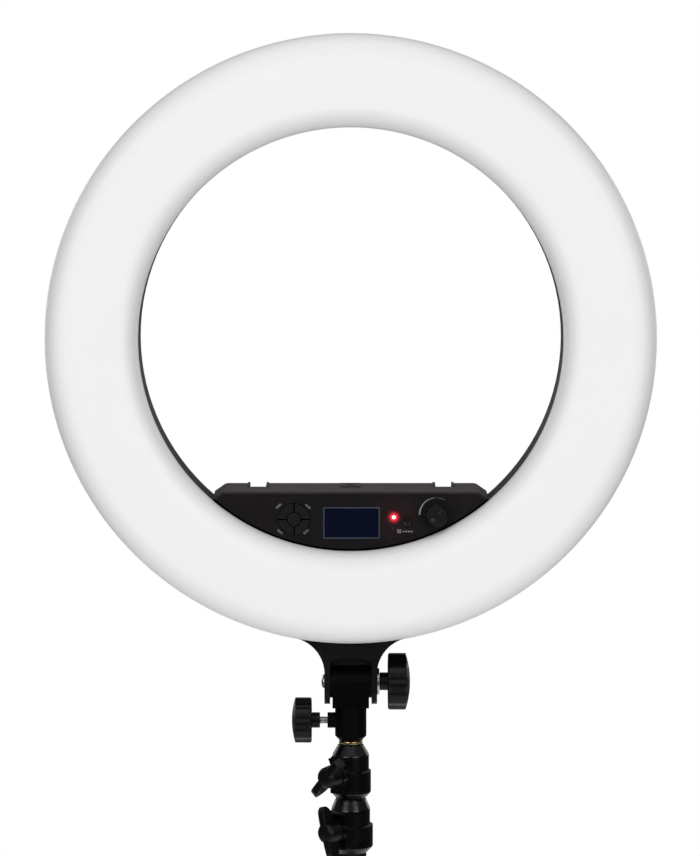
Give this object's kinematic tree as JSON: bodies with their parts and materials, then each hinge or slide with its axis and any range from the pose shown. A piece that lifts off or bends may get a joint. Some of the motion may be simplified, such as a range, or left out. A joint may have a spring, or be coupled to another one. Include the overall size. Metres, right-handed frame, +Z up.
{
  "type": "led ring light",
  "caption": "Dimmable ring light with a control box in its hole, tilting on a telescoping stand with folding legs.",
  "frame": {"origin": "centre of the footprint on the floor, under the middle of the three feet's bounding box", "axes": "+Z up along the column, -Y the way the light shines, +X to the right seen from the front"},
  "size_m": [0.8032, 0.6987, 1.26],
  "materials": {
    "housing": "fine satin texture",
    "diffuser": "milky, slightly rolled edges, lit from behind",
    "panel": "smooth black",
    "window": "clear, dark blue when unlit",
    "module": "metal-framed display",
    "board": "solder-masked circuit board",
    "emitter": "phosphor-capped emitters",
    "lamp": "lit red lamp",
    "button": "smooth black keys",
    "steel": "bright zinc plated",
    "brass": "polished",
    "casting": "satin black",
    "knob": "satin black",
    "tube": "black anodised, glossy",
    "collar": "moulded, glossy black",
    "rubber": "matt black",
    "component": "moulded black"
  },
  "bodies": {
    "base": {"base_tube": "tube", "lower_collar": "collar", "lower_spider": "collar", "lower_pins": "steel", "base_cap": "rubber"},
    "lower_wing": {"lower_wing_knob": "knob"},
    "middle_section": {"middle_tube": "tube", "upper_collar": "collar"},
    "upper_wing": {"upper_wing_knob": "knob"},
    "top_section": {"spigot": "brass", "inner_tube": "tube"},
    "socket": {"socket_body": "casting"},
    "clamp_grip": {"clamp_screw": "steel", "clamp_knob": "knob"},
    "head": {"rear_housing": "housing", "rear_cover": "housing", "cover_screws": "steel", "thread_insert": "brass", "led_board": "board", "led_emitters": "emitter", "board_screws": "steel", "diffuser": "diffuser", "front_panel": "panel", "screen_window": "window", "screen_module": "module", "control_board": "board", "indicator_lamps": "lamp", "dimmer_encoder": "component", "power_inlet": "component", "battery_contacts": "brass", "driver_board": "board", "tilt_fork": "casting", "fork_screws": "steel", "tilt_bolt": "steel", "tilt_washer": "steel", "battery_plate_left": "component", "battery_plate_right": "component"},
    "tilt_grip": {"tilt_knob": "knob"},
    "dimmer": {"dimmer_knob": "button"},
    "centre_key": {"centre_button": "button"},
    "mode_key": {"mode_button": "button"},
    "rocker": {"power_switch": "button"},
    "latch_left": {"battery_latch_left": "button"},
    "latch_right": {"battery_latch_right": "button"},
    "sliding_hub": {"upper_spider": "collar", "upper_pins": "steel"},
    "hub_lock": {"spider_knob": "knob"},
    "arc_key_1": {"arc_button_1": "button"},
    "arc_key_2": {"arc_button_2": "button"},
    "arc_key_3": {"arc_button_3": "button"},
    "arc_key_4": {"arc_button_4": "button"},
    "brace_1": {"brace_1": "casting"},
    "leg_1": {"leg_1": "tube", "foot_1": "rubber"},
    "brace_2": {"brace_2": "casting"},
    "leg_2": {"leg_2": "tube", "foot_2": "rubber"},
    "brace_3": {"brace_3": "casting"},
    "leg_3": {"leg_3": "tube", "foot_3": "rubber"}
  },
  "joints": [
    {"name": "leg_fold", "type": "hinge", "parent": "base", "child": "brace_1", "pos_m": [0, -0.08803, 0.0305], "axis": [-1, 0, 0], "range_deg": [-55, 0]},
    {"name": "leg_1_swing", "type": "hinge", "parent": "brace_1", "child": "leg_1", "pos_m": [0, 0.10655, 0.15686], "axis": [-1, 0, 0], "range_deg": [0, 110]},
    {"name": "brace_2_fold", "type": "hinge", "parent": "base", "child": "brace_2", "pos_m": [-0.02425, -0.13003, 0.0305], "axis": [0.5, -0.866, 0], "range_deg": [-55, 0]},
    {"name": "leg_2_swing", "type": "hinge", "parent": "brace_2", "child": "leg_2", "pos_m": [-0.19275, -0.22731, 0.15686], "axis": [0.5, -0.866, 0], "range_deg": [0, 110]},
    {"name": "brace_3_fold", "type": "hinge", "parent": "base", "child": "brace_3", "pos_m": [0.02425, -0.13003, 0.0305], "axis": [0.5, 0.866, 0], "range_deg": [-55, 0]},
    {"name": "leg_3_swing", "type": "hinge", "parent": "brace_3", "child": "leg_3", "pos_m": [0.19275, -0.22731, 0.15686], "axis": [0.5, 0.866, 0], "range_deg": [0, 110]},
    {"name": "hub_rise", "type": "hinge", "parent": "leg_1", "child": "sliding_hub", "pos_m": [0, -0.08803, 0.28321], "axis": [-1, 0, 0], "range_deg": [-55, 0]},
    {"name": "hub_lock_turn", "type": "hinge", "parent": "sliding_hub", "child": "hub_lock", "pos_m": [0, -0.14323, 0.29921], "axis": [0, -1, 0], "continuous": true},
    {"name": "middle_slide", "type": "slide", "parent": "base", "child": "middle_section", "axis": [0, 0, 1], "range_m": [0, 0.5]},
    {"name": "top_slide", "type": "slide", "parent": "middle_section", "child": "top_section", "axis": [0, 0, 1], "range_m": [0, 0.5]},
    {"name": "lower_wing_turn", "type": "hinge", "parent": "base", "child": "lower_wing", "pos_m": [0, -0.11603, 0.6281], "axis": [-0.6428, -0.766, 0], "continuous": true},
    {"name": "upper_wing_turn", "type": "hinge", "parent": "middle_section", "child": "upper_wing", "pos_m": [0, -0.11603, 0.6728], "axis": [-0.6428, -0.766, 0], "continuous": true},
    {"name": "head_pan", "type": "hinge", "parent": "top_section", "child": "socket", "pos_m": [0, -0.11603, 0.7148], "axis": [0, 0, 1], "continuous": true},
    {"name": "clamp_turn", "type": "hinge", "parent": "socket", "child": "clamp_grip", "pos_m": [0, -0.11603, 0.7148], "axis": [-1, 0, 0], "continuous": true},
    {"name": "head_tilt", "type": "hinge", "parent": "socket", "child": "head", "pos_m": [0, -0.11603, 0.746], "axis": [1, 0, 0], "range_deg": [-90, 90]},
    {"name": "tilt_knob_turn", "type": "hinge", "parent": "head", "child": "tilt_grip", "pos_m": [0, -0.11603, 0.746], "axis": [1, 0, 0], "continuous": true},
    {"name": "dimmer_turn", "type": "hinge", "parent": "head", "child": "dimmer", "pos_m": [0.0673, -0.13503, 0.8826], "axis": [0, 1, 0], "range_deg": [0, 270]},
    {"name": "power_rock", "type": "hinge", "parent": "head", "child": "rocker", "pos_m": [0.018, -0.07853, 0.868], "axis": [1, 0, 0], "range_deg": [0, 16]},
    {"name": "centre_press", "type": "slide", "parent": "head", "child": "centre_key", "axis": [0, 1, 0], "range_m": [0, 0.001], "stiffness_N_per_m": 500},
    {"name": "mode_press", "type": "slide", "parent": "head", "child": "mode_key", "axis": [0, 1, 0], "range_m": [0, 0.001], "stiffness_N_per_m": 500},
    {"name": "arc_1_press", "type": "slide", "parent": "head", "child": "arc_key_1", "axis": [0, 1, 0], "range_m": [0, 0.001], "stiffness_N_per_m": 500},
    {"name": "arc_2_press", "type": "slide", "parent": "head", "child": "arc_key_2", "axis": [0, 1, 0], "range_m": [0, 0.001], "stiffness_N_per_m": 500},
    {"name": "arc_3_press", "type": "slide", "parent": "head", "child": "arc_key_3", "axis": [0, 1, 0], "range_m": [0, 0.001], "stiffness_N_per_m": 500},
    {"name": "arc_4_press", "type": "slide", "parent": "head", "child": "arc_key_4", "axis": [0, 1, 0], "range_m": [0, 0.001], "stiffness_N_per_m": 500},
    {"name": "latch_left_press", "type": "slide", "parent": "head", "child": "latch_left", "axis": [0, -1, 0], "range_m": [0, 0.003], "stiffness_N_per_m": 300, "springref_m": -0.001},
    {"name": "latch_right_press", "type": "slide", "parent": "head", "child": "latch_right", "axis": [0, -1, 0], "range_m": [0, 0.003], "stiffness_N_per_m": 300, "springref_m": -0.001}
  ],
  "couplings": [
    {"joint": "leg_1_swing", "follows": "leg_fold", "ratio": -2},
    {"joint": "brace_2_fold", "follows": "leg_fold", "ratio": 1},
    {"joint": "leg_2_swing", "follows": "leg_fold", "ratio": -2},
    {"joint": "brace_3_fold", "follows": "leg_fold", "ratio": 1},
    {"joint": "leg_3_swing", "follows": "leg_fold", "ratio": -2},
    {"joint": "hub_rise", "follows": "leg_fold", "ratio": 1}
  ]
}
